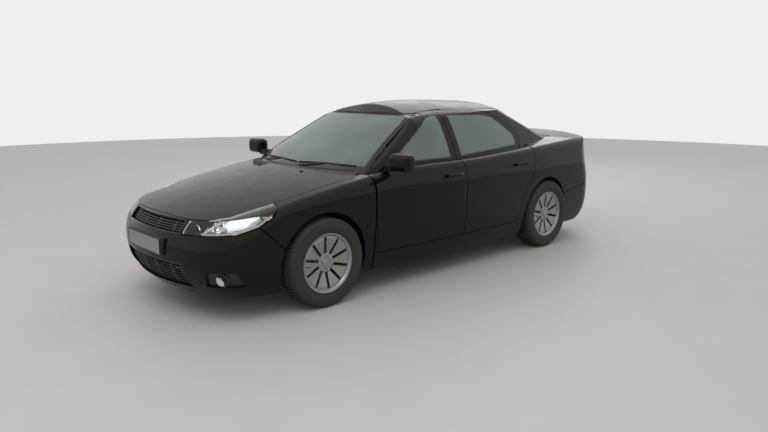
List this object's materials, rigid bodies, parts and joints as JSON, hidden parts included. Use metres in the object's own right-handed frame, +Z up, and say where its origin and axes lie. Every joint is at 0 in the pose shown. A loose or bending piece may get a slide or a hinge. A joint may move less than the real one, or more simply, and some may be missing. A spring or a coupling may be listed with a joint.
{
  "type": "four-door sedan car",
  "caption": "Black midsize sedan car with opening doors, hood and trunk lid, a hollow furnished cabin, and steered, turning wheels.",
  "frame": {"origin": "on the ground under the middle of the car", "axes": "+X towards the front, +Y to the car's left, +Z up"},
  "size_m": [4.8677, 2.21, 1.4652],
  "materials": {
    "car_paint": "gloss black lacquer",
    "black_steel": "matt black coating",
    "black_plastic": "fine grain",
    "trim_plastic": "soft grained",
    "lamp_plastic": "bright reflector",
    "red_plastic": "moulded lamp lens",
    "clear_glass": "clear lens",
    "window_glass": "green tinted",
    "alloy": "silver lacquer",
    "tyre_rubber": "matt",
    "cast_metal": "as cast",
    "seat_fabric": "woven grey",
    "plate_white": "blank white enamel"
  },
  "bodies": {
    "shell": {"floor_pan": "black_steel", "side_frame_left": "car_paint", "side_frame_right": "car_paint", "roof_panel": "car_paint", "fender_left": "car_paint", "fender_right": "car_paint", "front_bumper": "car_paint", "rear_bumper": "car_paint", "cowl": "black_plastic", "windscreen": "window_glass", "backlight": "window_glass", "grille": "black_plastic", "fog_lamps": "lamp_plastic", "headlamp_lenses": "clear_glass", "headlamp_housings": "lamp_plastic", "tail_lamps": "red_plastic", "front_structure": "black_steel", "rear_wheelhouses": "black_plastic", "engine_block": "cast_metal", "front_suspension": "cast_metal", "upper_arms": "cast_metal", "rear_axle": "cast_metal", "front_seats": "seat_fabric", "rear_seat": "seat_fabric", "dashboard": "trim_plastic", "parcel_shelf": "trim_plastic", "radiator": "cast_metal", "fuel_tank": "black_plastic", "exhaust": "cast_metal", "plate_holder": "black_plastic", "front_plate": "plate_white", "wipers": "black_plastic"},
    "hood": {"hood": "car_paint"},
    "trunk_lid": {"trunk_lid": "car_paint", "lid_lamps": "red_plastic"},
    "door_front_left": {"door_front_left": "car_paint", "glass_front_left": "window_glass", "mirror_left": "car_paint"},
    "wheel_front_left": {"rim_front_left": "alloy", "tyre_front_left": "tyre_rubber"},
    "door_rear_left": {"door_rear_left": "car_paint", "glass_rear_left": "window_glass"},
    "wheel_rear_left": {"rim_rear_left": "alloy", "tyre_rear_left": "tyre_rubber"},
    "knuckle_left": {"knuckle_left": "cast_metal"},
    "door_front_right": {"door_front_right": "car_paint", "glass_front_right": "window_glass", "mirror_right": "car_paint"},
    "wheel_front_right": {"rim_front_right": "alloy", "tyre_front_right": "tyre_rubber"},
    "door_rear_right": {"door_rear_right": "car_paint", "glass_rear_right": "window_glass"},
    "wheel_rear_right": {"rim_rear_right": "alloy", "tyre_rear_right": "tyre_rubber"},
    "knuckle_right": {"knuckle_right": "cast_metal"},
    "steering_wheel": {"steering_wheel": "trim_plastic"}
  },
  "joints": [
    {"name": "door_front_left_hinge", "type": "hinge", "parent": "shell", "child": "door_front_left", "pos_m": [0.958, 0.903, 0.6], "axis": [0, 0, -1], "range_deg": [0, 66]},
    {"name": "door_rear_left_hinge", "type": "hinge", "parent": "shell", "child": "door_rear_left", "pos_m": [-0.087, 0.903, 0.6], "axis": [0, 0, -1], "range_deg": [0, 66]},
    {"name": "steer_left", "type": "hinge", "parent": "shell", "child": "knuckle_left", "pos_m": [1.45, 0.755, 0.333], "axis": [0, 0, 1], "range_deg": [-33, 33]},
    {"name": "spin_front_left", "type": "hinge", "parent": "knuckle_left", "child": "wheel_front_left", "pos_m": [1.45, 0.795, 0.333], "axis": [0, 1, 0], "continuous": true},
    {"name": "spin_rear_left", "type": "hinge", "parent": "shell", "child": "wheel_rear_left", "pos_m": [-1.33, 0.795, 0.333], "axis": [0, 1, 0], "continuous": true},
    {"name": "door_front_right_hinge", "type": "hinge", "parent": "shell", "child": "door_front_right", "pos_m": [0.958, -0.903, 0.6], "axis": [0, 0, 1], "range_deg": [0, 66]},
    {"name": "door_rear_right_hinge", "type": "hinge", "parent": "shell", "child": "door_rear_right", "pos_m": [-0.087, -0.903, 0.6], "axis": [0, 0, 1], "range_deg": [0, 66]},
    {"name": "steer_right", "type": "hinge", "parent": "shell", "child": "knuckle_right", "pos_m": [1.45, -0.755, 0.333], "axis": [0, 0, 1], "range_deg": [-33, 33]},
    {"name": "spin_front_right", "type": "hinge", "parent": "knuckle_right", "child": "wheel_front_right", "pos_m": [1.45, -0.795, 0.333], "axis": [0, 1, 0], "continuous": true},
    {"name": "spin_rear_right", "type": "hinge", "parent": "shell", "child": "wheel_rear_right", "pos_m": [-1.33, -0.795, 0.333], "axis": [0, 1, 0], "continuous": true},
    {"name": "hood_hinge", "type": "hinge", "parent": "shell", "child": "hood", "pos_m": [1.06, 0, 0.94], "axis": [0, -1, 0], "range_deg": [0, 55]},
    {"name": "trunk_hinge", "type": "hinge", "parent": "shell", "child": "trunk_lid", "pos_m": [-1.62, 0, 1.04], "axis": [0, 1, 0], "range_deg": [0, 75]},
    {"name": "steering_column", "type": "hinge", "parent": "shell", "child": "steering_wheel", "pos_m": [0.43, 0.37, 0.93], "axis": [-0.9136, 0, 0.4067], "range_deg": [-462, 462]}
  ],
  "couplings": [
    {"joint": "steer_right", "follows": "steer_left", "ratio": 1},
    {"joint": "steering_column", "follows": "steer_left", "ratio": 14}
  ]
}
